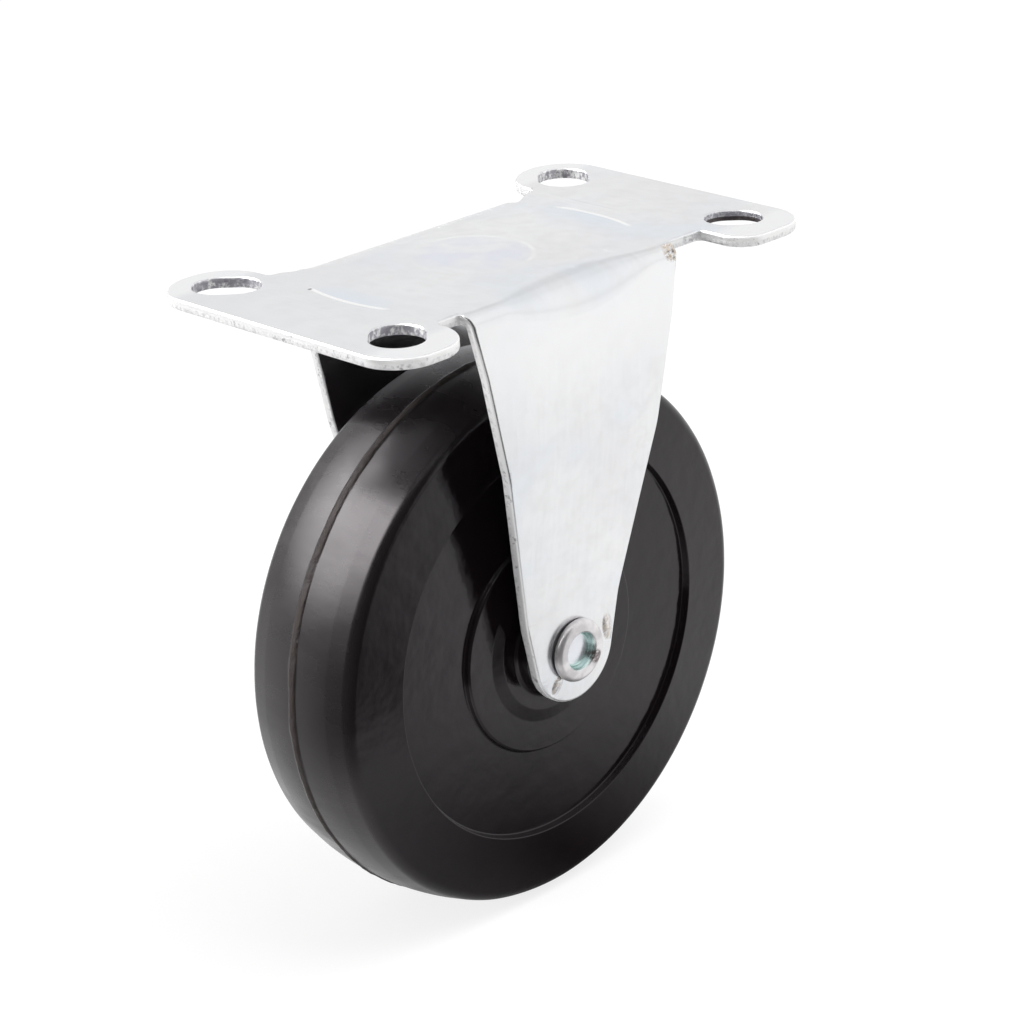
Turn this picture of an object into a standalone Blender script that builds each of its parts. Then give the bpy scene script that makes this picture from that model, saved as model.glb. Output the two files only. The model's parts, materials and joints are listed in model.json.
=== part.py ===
"""Fixed castor: a bracket folded from one sheet, a solid rubber wheel and a hollow rivet axle.

Metres, +Z up. The origin is the middle of the top plate's upper face, X is the rolling direction
and Y is the axle's direction.
"""
import math

import bmesh
import bpy
from mathutils import Vector

# Sheet metal of the bracket
SHEET = 0.0020
EDGE_ROUND = 0.0004

# Top plate with its four ears
PLATE_LENGTH = 0.1008
PLATE_WIDTH = 0.0598
EAR_OUTER_RADIUS = 0.0083
EAR_INNER_RADIUS = 0.0082
EAR_WIDTH = 0.0184
SLOT_TO_END = 0.0097
SLOT_TO_SIDE = 0.0096
SLOT_WIDTH = 0.0091
SLOT_LENGTH = 0.0116
SLOT_ANGLE = math.radians(45.0)

# Relief notches between the ears and the legs
NOTCH_DEPTH = 0.0102
NOTCH_RADIUS = 0.0011
NOTCH_REAR_LENGTH = 0.0054
NOTCH_FRONT_LENGTH = 0.0082

# Fold of each leg: its outer radius is small beside the notches and larger at mid-span
BEND_RADIUS_END = 0.0024
BEND_RADIUS_MIDDLE = 0.0062
BEND_REACH_MARGIN = 0.0033
BEND_FLAT_MARGIN = 0.0026
BEND_FLAT_END = 0.0080

# Legs: they taper, are set in toward the wheel, and stand parallel round the axle
LEG_FACE_AXLE = 0.0184
LEG_SET_ANGLE = math.radians(6.9)
LEG_SET_RADIUS = 0.0250
AXLE_SEAT = 0.0060
LEG_END_RADIUS = 0.0097
LEG_FLARE_DEPTH = 0.0120
LEG_FLARE_REAR_TAPER = 0.0036
LEG_FLARE_FRONT_TAPER = 0.0016

# Wheel
WHEEL_DIAMETER = 0.1000
WHEEL_TO_PLATE = 0.0168
SEAM_HEIGHT = 0.0002
SEAM_HALF_WIDTH = 0.0006
CROWN_RADIUS = 0.0420
SHOULDER_RADIUS = 0.0022
RIM_HALF_WIDTH = 0.0130
SIDE_TAPER = 0.0009
RIM_INNER_RADIUS = 0.0363
WEB_HALF_WIDTH = 0.0109
BOSS_RADIUS = 0.0204
BOSS_HALF_WIDTH = 0.0125
COLLAR_RADIUS = 0.0142
COLLAR_HALF_WIDTH = 0.0137
HUB_END_RADIUS = 0.0092
MOULD_ROUND = 0.0004
MOULD_DRAFT = 0.0003

# Axle: hollow rivet through a spacer sleeve
RIVET_HEAD_RADIUS = 0.0057
RIVET_HEAD_THICKNESS = 0.0014
RIVET_HEAD_ROUND = 0.0005
RIVET_MOUTH_ROUND = 0.0006
RIVET_SHANK_RADIUS = 0.0043
RIVET_BORE_RADIUS = 0.0031
SLEEVE_WALL = 0.0012

# Clearances
SEAT_GAP = 0.0003
RUNNING_GAP = 0.0003
HUB_END_GAP = 0.0005

# Facets
WHEEL_STEPS = 64
AXLE_STEPS = 40
RIVET_HOLE_STEPS = 32
CORNER_STEPS = 5
CROWN_STEPS = 4
SHOULDER_STEPS = 4
MOULD_STEPS = 2
EAR_STEPS = 8
SLOT_STEPS = 9
BEND_ROWS = 5
BEND_COLUMNS = 6
SET_ROWS = 3

# Values worked out from those above
AXLE_DROP = SHEET + WHEEL_TO_PLATE + WHEEL_DIAMETER / 2
NOTCH_BASE = PLATE_WIDTH / 2 - NOTCH_DEPTH
EAR_INNER_SIDE = PLATE_LENGTH / 2 - EAR_WIDTH
LEG_ROOT_REAR = EAR_INNER_SIDE - NOTCH_REAR_LENGTH
LEG_ROOT_FRONT = EAR_INNER_SIDE - NOTCH_FRONT_LENGTH
LEG_FACE_TOP = NOTCH_BASE + BEND_RADIUS_END
BEND_REACH = LEG_ROOT_FRONT - BEND_REACH_MARGIN
BEND_FLAT_START = LEG_FACE_TOP - BEND_RADIUS_MIDDLE - BEND_FLAT_MARGIN
BEND_END = NOTCH_BASE + BEND_RADIUS_END * math.pi / 2
FLAT_LEG_START = BEND_END + BEND_FLAT_END - BEND_RADIUS_END
SET_DEPTH = LEG_FACE_TOP - LEG_FACE_AXLE
SET_STRAIGHT = (SET_DEPTH - 2 * LEG_SET_RADIUS * (1 - math.cos(LEG_SET_ANGLE))) / math.sin(LEG_SET_ANGLE)
SET_ARC = LEG_SET_RADIUS * LEG_SET_ANGLE
SET_DROP = 2 * LEG_SET_RADIUS * math.sin(LEG_SET_ANGLE) + SET_STRAIGHT * math.cos(LEG_SET_ANGLE)
SET_LENGTH = 2 * SET_ARC + SET_STRAIGHT
SET_START = FLAT_LEG_START + AXLE_DROP - AXLE_SEAT - SET_DROP - BEND_FLAT_END
AXLE_ON_BLANK = SET_START + SET_LENGTH + AXLE_SEAT
SLEEVE_BORE_RADIUS = RIVET_SHANK_RADIUS + SEAT_GAP
SLEEVE_RADIUS = SLEEVE_BORE_RADIUS + SLEEVE_WALL
WHEEL_BORE_RADIUS = SLEEVE_RADIUS + RUNNING_GAP


def clear_scene():
    for item in list(bpy.data.objects):
        bpy.data.objects.remove(item, do_unlink=True)


def make_collection(name):
    collection = bpy.data.collections.new(name)
    bpy.context.scene.collection.children.link(collection)
    return collection


def make_material(name, colour, metallic, roughness):
    material = bpy.data.materials.new(name)
    material.use_nodes = True
    shader = material.node_tree.nodes["Principled BSDF"]
    shader.inputs["Base Color"].default_value = (*colour, 1.0)
    shader.inputs["Metallic"].default_value = metallic
    shader.inputs["Roughness"].default_value = roughness
    return material


def arc(centre, radius, start, end, steps=CORNER_STEPS):
    """Points of an arc from one angle to another, in degrees, ends included."""
    points = []
    for step in range(steps + 1):
        angle = math.radians(start + (end - start) * step / steps)
        points.append(Vector((centre[0] + radius * math.cos(angle), centre[1] + radius * math.sin(angle))))
    return points


def ear_outline():
    """One ear in the first quadrant, from the plate's end round to the floor of its notch."""
    end = PLATE_LENGTH / 2
    side = PLATE_WIDTH / 2
    outer = (end - EAR_OUTER_RADIUS, side - EAR_OUTER_RADIUS)
    inner = (EAR_INNER_SIDE + EAR_INNER_RADIUS, side - EAR_INNER_RADIUS)
    hook = (EAR_INNER_SIDE - NOTCH_RADIUS, NOTCH_BASE + NOTCH_RADIUS)
    return (arc(outer, EAR_OUTER_RADIUS, 0, 90, EAR_STEPS)
            + arc(inner, EAR_INNER_RADIUS, 90, 180, EAR_STEPS)
            + arc(hook, NOTCH_RADIUS, 0, -90))


def leg_side(root, taper):
    """One side of a leg in the first quadrant of the blank, from its notch down to its round end."""
    root_fillet = arc((root + NOTCH_RADIUS, NOTCH_BASE + NOTCH_RADIUS), NOTCH_RADIUS, 270, 190)
    flare = Vector((root - taper, FLAT_LEG_START + LEG_FLARE_DEPTH - BEND_FLAT_END))
    centre = Vector((0.0, AXLE_ON_BLANK))
    reach = (flare - centre).length
    tangent = (math.degrees(math.atan2(flare.y - centre.y, flare.x - centre.x))
               + math.degrees(math.acos(LEG_END_RADIUS / reach)))
    end_arc = arc(centre, LEG_END_RADIUS, tangent, 90, EAR_STEPS)
    return root_fillet + [flare] + end_arc


def mirrored(points, across_x, across_y):
    """The same outline in another quadrant, in the order that keeps a loop running one way."""
    turned = [Vector((-p.x if across_x else p.x, -p.y if across_y else p.y)) for p in points]
    return turned[::-1] if across_x != across_y else turned


def blank_outline():
    """The flat blank's outline, anticlockwise from the front end of the plate."""
    front = ear_outline() + leg_side(LEG_ROOT_FRONT, LEG_FLARE_FRONT_TAPER)
    rear = ear_outline() + leg_side(LEG_ROOT_REAR, LEG_FLARE_REAR_TAPER)
    loop = (front + mirrored(rear, True, False) + mirrored(rear, True, True) + mirrored(front, False, True))
    kept = [loop[0]]
    for point in loop[1:]:
        if (point - kept[-1]).length > EDGE_ROUND / 10:
            kept.append(point)
    return kept


def slot_outline(sign_x, sign_y):
    """A mounting slot that runs along its ear's diagonal."""
    centre = Vector((sign_x * (PLATE_LENGTH / 2 - SLOT_TO_END), sign_y * (PLATE_WIDTH / 2 - SLOT_TO_SIDE)))
    direction = Vector((sign_x * math.cos(SLOT_ANGLE), sign_y * math.sin(SLOT_ANGLE)))
    reach = direction * (SLOT_LENGTH - SLOT_WIDTH) / 2
    heading = math.degrees(math.atan2(direction.y, direction.x))
    return (arc(centre + reach, SLOT_WIDTH / 2, heading - 90, heading + 90, SLOT_STEPS)
            + arc(centre - reach, SLOT_WIDTH / 2, heading + 90, heading + 270, SLOT_STEPS))


def rivet_hole_outline(sign_y):
    radius = RIVET_SHANK_RADIUS + SEAT_GAP
    return arc((0.0, sign_y * AXLE_ON_BLANK), radius, 0, 360 - 360 / RIVET_HOLE_STEPS, RIVET_HOLE_STEPS - 1)


def flat_blank():
    """The sheet before folding, its upper face at z = 0, as a mesh."""
    curve = bpy.data.curves.new("blank", "CURVE")
    curve.dimensions = "2D"
    curve.fill_mode = "BOTH"
    curve.extrude = SHEET / 2 - EDGE_ROUND
    curve.bevel_depth = EDGE_ROUND
    curve.bevel_resolution = 1
    curve.offset = -EDGE_ROUND
    loops = [blank_outline(), rivet_hole_outline(1), rivet_hole_outline(-1)]
    for sign_x in (1, -1):
        for sign_y in (1, -1):
            loops.append(slot_outline(sign_x, sign_y))
    for loop in loops:
        spline = curve.splines.new("POLY")
        spline.points.add(len(loop) - 1)
        for point, place in zip(spline.points, loop):
            point.co = (place.x, place.y, 0.0, 1.0)
        spline.use_cyclic_u = True
    source = bpy.data.objects.new("blank", curve)
    bpy.context.scene.collection.objects.link(source)
    graph = bpy.context.evaluated_depsgraph_get()
    mesh = bpy.data.meshes.new_from_object(source.evaluated_get(graph))
    bpy.data.objects.remove(source, do_unlink=True)
    return mesh


def bend_radius(x):
    """Outer radius of the fold: largest at mid-span, smallest beside the notches."""
    share = min(abs(x) / BEND_REACH, 1.0)
    swell = (1 - share * share) ** 2
    return BEND_RADIUS_END + (BEND_RADIUS_MIDDLE - BEND_RADIUS_END) * swell


def fold_path(x, distance):
    """Place and outward direction, in Y and Z, of the sheet's outer face at a distance along the blank."""
    radius = bend_radius(x)
    start = LEG_FACE_TOP - radius
    if distance <= BEND_FLAT_START:
        return distance, 0.0, 0.0
    if distance <= NOTCH_BASE:
        share = (distance - BEND_FLAT_START) / (NOTCH_BASE - BEND_FLAT_START)
        return BEND_FLAT_START + share * (start - BEND_FLAT_START), 0.0, 0.0
    if distance <= BEND_END:
        angle = (distance - NOTCH_BASE) / BEND_RADIUS_END
        return start + radius * math.sin(angle), -radius * (1 - math.cos(angle)), angle
    if distance <= FLAT_LEG_START:
        share = (distance - BEND_END) / (FLAT_LEG_START - BEND_END)
        return LEG_FACE_TOP, -radius - share * (BEND_FLAT_END - radius), math.pi / 2
    return leg_path(distance)


def leg_path(distance):
    """The leg below its fold: straight, bent in, leaning, bent back and straight again."""
    top = -BEND_FLAT_END - (SET_START - FLAT_LEG_START)
    past = distance - SET_START
    if past <= 0:
        return LEG_FACE_TOP, top - past, math.pi / 2
    if past <= SET_ARC:
        angle = past / LEG_SET_RADIUS
        inward = LEG_SET_RADIUS * (1 - math.cos(angle))
        return LEG_FACE_TOP - inward, top - LEG_SET_RADIUS * math.sin(angle), math.pi / 2 + angle
    left = SET_LENGTH - past
    bottom = top - SET_DROP
    if left <= 0:
        return LEG_FACE_AXLE, bottom + left, math.pi / 2
    if left <= SET_ARC:
        angle = left / LEG_SET_RADIUS
        outward = LEG_SET_RADIUS * (1 - math.cos(angle))
        return LEG_FACE_AXLE + outward, bottom + LEG_SET_RADIUS * math.sin(angle), math.pi / 2 + angle
    run = past - SET_ARC
    inward = LEG_SET_RADIUS * (1 - math.cos(LEG_SET_ANGLE)) + run * math.sin(LEG_SET_ANGLE)
    drop = LEG_SET_RADIUS * math.sin(LEG_SET_ANGLE) + run * math.cos(LEG_SET_ANGLE)
    return LEG_FACE_TOP - inward, top - drop, math.pi / 2 + LEG_SET_ANGLE


def folded(place):
    """Where a point of the flat blank lies on the folded bracket."""
    depth = place.z - SHEET / 2
    if abs(place.x) > EAR_INNER_SIDE - NOTCH_RADIUS:
        return Vector((place.x, place.y, depth))
    side = math.copysign(1.0, place.y)
    y, z, angle = fold_path(place.x, abs(place.y))
    return Vector((place.x, side * (y + depth * math.sin(angle)), z + depth * math.cos(angle)))


def fold_rows():
    """Distances along the blank at which it is cut into rows, so that the folds come out round."""
    rows = [BEND_FLAT_START, NOTCH_BASE, FLAT_LEG_START]
    rows += [NOTCH_BASE + (BEND_END - NOTCH_BASE) * row / BEND_ROWS for row in range(1, BEND_ROWS + 1)]
    for begin in (SET_START, SET_START + SET_LENGTH - SET_ARC):
        rows += [begin + SET_ARC * row / SET_ROWS for row in range(SET_ROWS + 1)]
    return rows


def cut_strip(bm, place, direction, low, high):
    """Cut the sheet along a plane, only in the strip of the blank between two corners."""
    faces = []
    for face in bm.faces:
        middle = face.calc_center_median()
        if low[0] < middle.x < high[0] and low[1] < middle.y < high[1]:
            faces.append(face)
    edges = {edge for face in faces for edge in face.edges}
    verts = {vert for face in faces for vert in face.verts}
    bmesh.ops.bisect_plane(bm, geom=list(verts) + list(edges) + faces, dist=1e-7,
                           plane_co=place, plane_no=direction)


def make_bracket(collection, material):
    mesh = flat_blank()
    bm = bmesh.new()
    bm.from_mesh(mesh)
    bmesh.ops.remove_doubles(bm, verts=bm.verts, dist=1e-6)
    ear = EAR_INNER_SIDE - NOTCH_RADIUS
    end = AXLE_ON_BLANK + LEG_END_RADIUS
    for side in (1, -1):
        cut_strip(bm, (side * ear, 0, 0), (1, 0, 0), (-PLATE_LENGTH, -end), (PLATE_LENGTH, end))
    for row in fold_rows():
        for side in (1, -1):
            cut_strip(bm, (0, side * row, 0), (0, 1, 0), (-ear, -end), (ear, end))
    for column in range(-BEND_COLUMNS, BEND_COLUMNS + 1):
        place = (BEND_REACH * column / BEND_COLUMNS, 0, 0)
        cut_strip(bm, place, (1, 0, 0), (-ear, BEND_FLAT_START), (ear, FLAT_LEG_START))
        cut_strip(bm, place, (1, 0, 0), (-ear, -FLAT_LEG_START), (ear, -BEND_FLAT_START))
    for vert in bm.verts:
        vert.co = folded(vert.co)
    bmesh.ops.recalc_face_normals(bm, faces=bm.faces)
    bm.to_mesh(mesh)
    bm.free()
    mesh.name = "bracket"
    bracket = bpy.data.objects.new("bracket", mesh)
    collection.objects.link(bracket)
    mesh.materials.clear()
    mesh.materials.append(material)
    mesh.shade_smooth()
    mesh.set_sharp_from_angle(angle=math.radians(25))
    return bracket


def make_turned(name, profile, steps, collection, material):
    """A turned piece about the axle: its profile holds (radius, place along the axle) pairs."""
    mesh = bpy.data.meshes.new(name)
    bm = bmesh.new()
    verts = [bm.verts.new((radius, 0.0, along)) for radius, along in profile]
    for first, second in zip(verts, verts[1:] + verts[:1]):
        bm.edges.new((first, second))
    bm.to_mesh(mesh)
    bm.free()
    piece = bpy.data.objects.new(name, mesh)
    collection.objects.link(piece)
    piece.location = (0.0, 0.0, -AXLE_DROP)
    piece.rotation_euler = (math.pi / 2, 0.0, 0.0)
    screw = piece.modifiers.new("turn", "SCREW")
    screw.axis = "Z"
    screw.steps = steps
    screw.render_steps = steps
    screw.use_merge_vertices = True
    screw.merge_threshold = 1e-6
    screw.use_smooth_shade = True
    mesh.materials.append(material)
    return piece


def both_sides(half):
    """A profile symmetric about the wheel's middle, from the half above it, outer side downward."""
    return half + [(radius, -along) for radius, along in half[::-1]]


def fillet(before, corner, after, radius, steps=3):
    """Points that round a corner between two straight runs."""
    corner = Vector(corner)
    back = (Vector(before) - corner).normalized()
    ahead = (Vector(after) - corner).normalized()
    half = back.angle(ahead) / 2
    centre = corner + (back + ahead).normalized() * radius / math.sin(half)
    first = corner + back * radius / math.tan(half) - centre
    last = corner + ahead * radius / math.tan(half) - centre
    sweep = first.angle_signed(last)
    points = []
    for step in range(steps + 1):
        angle = -sweep * step / steps
        turned = Vector((first.x * math.cos(angle) - first.y * math.sin(angle),
                         first.x * math.sin(angle) + first.y * math.cos(angle)))
        points.append(tuple(centre + turned))
    return points


def wheel_half_profile():
    """From the bore's end outward over the side, the shoulder and the crown to the parting line."""
    radius = WHEEL_DIAMETER / 2
    tread = radius - SEAM_HEIGHT
    hub_end = LEG_FACE_AXLE - SHEET - HUB_END_GAP
    crown_centre = tread - CROWN_RADIUS
    side_at = RIM_HALF_WIDTH - SIDE_TAPER
    shoulder = (crown_centre + math.sqrt(CROWN_RADIUS ** 2 - side_at ** 2), side_at)
    crown_reach = side_at - 2 * SHOULDER_RADIUS
    crown = []
    for step in range(CROWN_STEPS, -1, -1):
        along = SEAM_HALF_WIDTH + (crown_reach - SEAM_HALF_WIDTH) * step / CROWN_STEPS
        crown.append((crown_centre + math.sqrt(CROWN_RADIUS ** 2 - along ** 2), along))
    rim_inner = (RIM_INNER_RADIUS, RIM_HALF_WIDTH)
    corners = [
        (WHEEL_BORE_RADIUS, hub_end),
        (HUB_END_RADIUS, hub_end),
        (HUB_END_RADIUS + MOULD_DRAFT, COLLAR_HALF_WIDTH),
        (COLLAR_RADIUS, COLLAR_HALF_WIDTH),
        (COLLAR_RADIUS + MOULD_DRAFT, BOSS_HALF_WIDTH),
        (BOSS_RADIUS, BOSS_HALF_WIDTH),
        (BOSS_RADIUS + MOULD_DRAFT, WEB_HALF_WIDTH),
        (RIM_INNER_RADIUS - MOULD_DRAFT, WEB_HALF_WIDTH),
        rim_inner,
        shoulder,
        crown[0],
    ]
    rounded = {1: MOULD_ROUND, 3: MOULD_ROUND, 5: MOULD_ROUND, 8: MOULD_ROUND, 9: SHOULDER_RADIUS}
    points = []
    for index, corner in enumerate(corners):
        if index in rounded:
            steps = SHOULDER_STEPS if index == 9 else MOULD_STEPS
            points += fillet(corners[index - 1], corner, corners[index + 1], rounded[index], steps)
        else:
            points.append(corner)
    seam_shoulder = (radius, SEAM_HALF_WIDTH / 2)
    return points + crown[1:] + [seam_shoulder]


def make_wheel(collection, material):
    half = wheel_half_profile()
    return make_turned("wheel", both_sides(half), WHEEL_STEPS, collection, material)


def make_sleeve(collection, material):
    end = LEG_FACE_AXLE - SHEET - SEAT_GAP
    half = [(SLEEVE_BORE_RADIUS, end), (SLEEVE_RADIUS, end)]
    return make_turned("spacer_sleeve", both_sides(half), AXLE_STEPS, collection, material)


def make_rivet(collection, material):
    seat = LEG_FACE_AXLE + SEAT_GAP
    face = seat + RIVET_HEAD_THICKNESS
    mouth = (RIVET_BORE_RADIUS, face)
    rim = (RIVET_HEAD_RADIUS, face)
    under = (RIVET_HEAD_RADIUS, seat)
    half = fillet((RIVET_BORE_RADIUS, 0.0), mouth, rim, RIVET_MOUTH_ROUND)
    half += fillet(mouth, rim, under, RIVET_HEAD_ROUND)
    half += fillet(rim, under, (RIVET_SHANK_RADIUS, seat), RIVET_HEAD_ROUND / 2, 2)
    half.append((RIVET_SHANK_RADIUS, seat))
    return make_turned("hollow_rivet_axle", both_sides(half), AXLE_STEPS, collection, material)


def main():
    clear_scene()
    castor = make_collection("fixed_castor")
    zinc = make_material("zinc_plated_steel", (0.78, 0.80, 0.82), 1.0, 0.32)
    rubber = make_material("black_rubber", (0.035, 0.033, 0.036), 0.0, 0.45)
    steel = make_material("bright_steel", (0.62, 0.64, 0.66), 1.0, 0.28)
    make_bracket(castor, zinc)
    make_wheel(castor, rubber)
    make_sleeve(castor, steel)
    make_rivet(castor, steel)


main()
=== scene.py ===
"""Looks of a fixed castor: a zinc plated folded bracket, a moulded rubber wheel and a hollow rivet axle."""

import json
import math

import bmesh
import bpy
from mathutils import Matrix, Vector, noise


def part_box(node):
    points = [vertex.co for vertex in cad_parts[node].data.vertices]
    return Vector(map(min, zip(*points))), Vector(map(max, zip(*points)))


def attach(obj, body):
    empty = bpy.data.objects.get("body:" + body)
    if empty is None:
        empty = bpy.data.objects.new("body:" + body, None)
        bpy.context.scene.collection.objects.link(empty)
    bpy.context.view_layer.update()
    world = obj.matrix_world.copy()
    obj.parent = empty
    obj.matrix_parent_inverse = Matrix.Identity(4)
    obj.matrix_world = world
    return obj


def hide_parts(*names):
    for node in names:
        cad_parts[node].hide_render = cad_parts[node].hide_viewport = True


bl_info = {
    "name": "Fixed Castor",
    "version": (1, 0, 0),
    "blender": (4, 5, 0),
    "location": "View3D > Sidebar > Castor",
    "description": "Builds the finish of a fixed castor round its packed frame",
    "category": "Object",
}

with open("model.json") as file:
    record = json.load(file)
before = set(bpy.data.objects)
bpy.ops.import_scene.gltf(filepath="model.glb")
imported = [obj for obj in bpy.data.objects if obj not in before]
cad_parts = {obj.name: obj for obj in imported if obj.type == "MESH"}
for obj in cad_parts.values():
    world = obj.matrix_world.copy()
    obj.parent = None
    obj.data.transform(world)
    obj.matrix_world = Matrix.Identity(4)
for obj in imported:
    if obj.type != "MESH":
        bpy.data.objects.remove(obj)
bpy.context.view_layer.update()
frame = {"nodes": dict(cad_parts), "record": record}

# Places taken from the frame
BRACKET_LOW, BRACKET_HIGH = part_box("bracket")
WHEEL_LOW, WHEEL_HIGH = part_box("wheel")
_, RIVET_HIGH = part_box("hollow_rivet_axle")
_, SLEEVE_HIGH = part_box("spacer_sleeve")
AXLE = Vector(frame["record"]["behaviour"]["joints"][0]["pos_m"])

MM = 0.001


def length(name, description, metres):
    """A size that the user may change."""
    return bpy.props.FloatProperty(name=name, description=description, default=metres, min=0.0,
                                   unit="LENGTH", precision=5)


def mm(name, description, millimetres):
    """The same, with its default in millimetres."""
    return length(name, description, millimetres * MM)


def angle(name, description, degrees):
    return bpy.props.FloatProperty(name=name, description=description, default=math.radians(degrees),
                                   subtype="ANGLE")


def colour(name, description, default):
    return bpy.props.FloatVectorProperty(name=name, description=description, default=default, size=3,
                                         min=0.0, max=1.0, subtype="COLOR")


def share(name, description, default):
    return bpy.props.FloatProperty(name=name, description=description, default=default, min=0.0, max=1.0)


def number(name, description, default, unit="NONE"):
    return bpy.props.FloatProperty(name=name, description=description, default=default, unit=unit)


class BracketSettings(bpy.types.PropertyGroup):
    """Sizes and finish of the folded bracket."""
    sheet: mm("Sheet", "Thickness of the sheet", 2.0)
    rim_round: mm("Rim round", "Radius that punching and plating leave on the sheet's rims", 0.45)
    plate_length: length("Plate length", "Length of the top plate", BRACKET_HIGH.x - BRACKET_LOW.x)
    plate_width: length("Plate width", "Width of the top plate over its ears", BRACKET_HIGH.y - BRACKET_LOW.y)
    ear_width: mm("Ear width", "From the plate's end to the notch", 18.4)
    slot_to_end: mm("Slot to end", "From the plate's end to a slot's centre", 9.7)
    slot_to_side: mm("Slot to side", "From the plate's side to a slot's centre", 9.6)
    slot_width: mm("Slot width", "Width of a mounting slot", 9.1)
    slot_length: mm("Slot length", "Length of a mounting slot", 11.6)
    slot_angle: angle("Slot angle", "Angle of a slot to the plate's length", 45.0)
    notch_depth: mm("Notch depth", "From an ear's side to the floor of its notch", 10.2)
    notch_radius: mm("Notch radius", "Radius in the corners of a notch", 1.1)
    notch_rear: mm("Rear notch", "Length of the notches at the rear", 5.4)
    notch_front: mm("Front notch", "Length of the notches at the front", 8.2)
    bend_end: mm("Bend radius at ends", "Outer radius of the fold beside the notches", 2.4)
    bend_middle: mm("Bend radius at middle", "Outer radius of the fold at mid-span", 6.2)
    bow_middle: mm("Bow middle", "Where along the plate the near fold is widest", 1.0)
    bow_rear: mm("Bow rear", "From there to where the near fold is tight again at the rear", 18.5)
    bow_front: mm("Bow front", "From there to where the near fold is tight again at the front", 17.5)
    bend_flat_margin: mm("Bend run-in", "Flat strip that eases into the bowed fold", 2.6)
    bend_flat_end: mm("Bend run-out", "Depth at which the leg is flat again", 8.0)
    leg_face_axle: mm("Leg face", "From the middle to a leg's outer face at the axle", 18.4)
    set_angle: angle("Set angle", "Lean of the legs toward the wheel", 6.9)
    set_radius: mm("Set radius", "Radius of the soft bends in the legs", 25.0)
    axle_seat: mm("Axle seat", "Flat part of the leg above the axle", 6.0)
    leg_end_radius: mm("Leg end radius", "Radius of the legs' round ends", 9.7)
    flare_depth: mm("Flare depth", "Depth at which the legs' straight sides start", 12.0)
    flare_rear: mm("Rear flare", "How much narrower the leg is there than at its rear root", 3.6)
    flare_front: mm("Front flare", "How much narrower the leg is there than at its front root", 1.6)
    rack_length: mm("Lengthwise rack", "How far the holes lie forward of the folded sheet", 0.4)
    rack_width: mm("Sideways rack", "How far the holes lie sideways of the folded sheet", 0.7)
    rivet_hole: mm("Rivet hole", "Radius of the rivet holes", 4.6)
    zinc: colour("Zinc", "Colour of the zinc plate", (0.888, 0.893, 0.900))
    zinc_blue: colour("Blue cast", "Colour of the bluish patches in the plate", (0.72, 0.80, 0.90))
    zinc_gloss: share("Zinc roughness", "Roughness of the plated faces", 0.20)
    stain: colour("Stain", "Colour of the rusty stains", (0.50, 0.38, 0.27))


class WheelSettings(bpy.types.PropertyGroup):
    """Sizes and finish of the rubber wheel."""
    radius: length("Radius", "Radius of the tread at the parting line", (WHEEL_HIGH.x - WHEEL_LOW.x) / 2)
    crown_radius: mm("Crown radius", "Radius of the crowned tread's section", 42.0)
    shoulder_radius: mm("Shoulder radius", "Radius between tread and sidewall", 2.2)
    rim_half: mm("Rim half width", "Half width over the sidewalls", 13.0)
    side_taper: mm("Side taper", "How far the sidewall leans in at the shoulder", 0.9)
    rim_inner: mm("Rim inner radius", "Radius where the sidewall steps down to the web", 36.3)
    web_half: mm("Web half width", "Half width over the web", 11.7)
    boss_radius: mm("Boss radius", "Radius of the raised boss", 20.4)
    boss_half: mm("Boss half width", "Half width over the boss", 12.7)
    collar_radius: mm("Collar radius", "Radius of the collar on the boss", 12.5)
    collar_half: mm("Collar half width", "Half width over the collar", 13.2)
    hub_radius: mm("Hub radius", "Radius of the hub's ends", 9.2)
    collar_slope: mm("Collar slope", "How far out the collar's soft side slopes", 2.3)
    draft: mm("Draft", "Draft of the moulded steps", 0.3)
    rim_slope: mm("Rim slope", "How far in the rim's step slopes down to the web", 0.35)
    flash_height: mm("Flash height", "Height of the parting line's flash", 0.26)
    flash_width: mm("Flash width", "Half width of the parting line's flash", 0.80)
    rubber: colour("Rubber", "Colour of the rubber", (0.0045, 0.0034, 0.0040))
    flash_colour: colour("Flash colour", "Colour along the parting line", (0.015, 0.0100, 0.0080))
    gloss: share("Rubber roughness", "Roughness of the moulded sides", 0.14)


class RivetSettings(bpy.types.PropertyGroup):
    """Sizes and finish of the hollow rivet."""
    head_radius: mm("Head radius", "Radius of the rolled heads", 5.75)
    head_thickness: mm("Head thickness", "Thickness of the rolled heads", 1.4)
    head_round: mm("Head round", "Radius of the heads' outer rim", 0.95)
    mouth_radius: mm("Mouth radius", "Radius of the cup at its mouth", 3.55)
    shank_radius: mm("Shank radius", "Radius of the shank", 4.3)
    cup_radius: mm("Cup radius", "Radius of the cup in each end", 3.1)
    cup_depth: mm("Cup depth", "From the head's face to the floor of the cup", 1.6)
    steel: colour("Plated steel", "Colour of the plated rivet", (0.85, 0.83, 0.84))
    tint: colour("Cup tint", "Greenish passivation on the wall of the cup", (0.56, 0.76, 0.73))
    cup_floor: colour("Cup floor", "Colour of the bright floor of the cup", (0.88, 0.90, 0.95))


class StageSettings(bpy.types.PropertyGroup):
    """Camera, lamps and floor."""
    lens: number("Lens", "Focal length in millimetres", 113.05, "CAMERA")
    azimuth: angle("Azimuth", "Camera's angle round the castor", -45.245)
    elevation: angle("Elevation", "Camera's angle above the horizon", 21.981)
    roll: angle("Roll", "Camera's roll", -1.889)
    place: bpy.props.FloatVectorProperty(name="Place", description="Camera's place", size=3,
                                         subtype="TRANSLATION", precision=5,
                                         default=(-0.369188, -0.370087, 0.163011))
    key: number("Key lamp", "Power of the large top lamp in watts", 9.0, "POWER")
    side: number("Side lamp", "Power of the left lamp in watts", 2.8, "POWER")
    surround: number("Surround", "Light from all round", 0.55)


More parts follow.
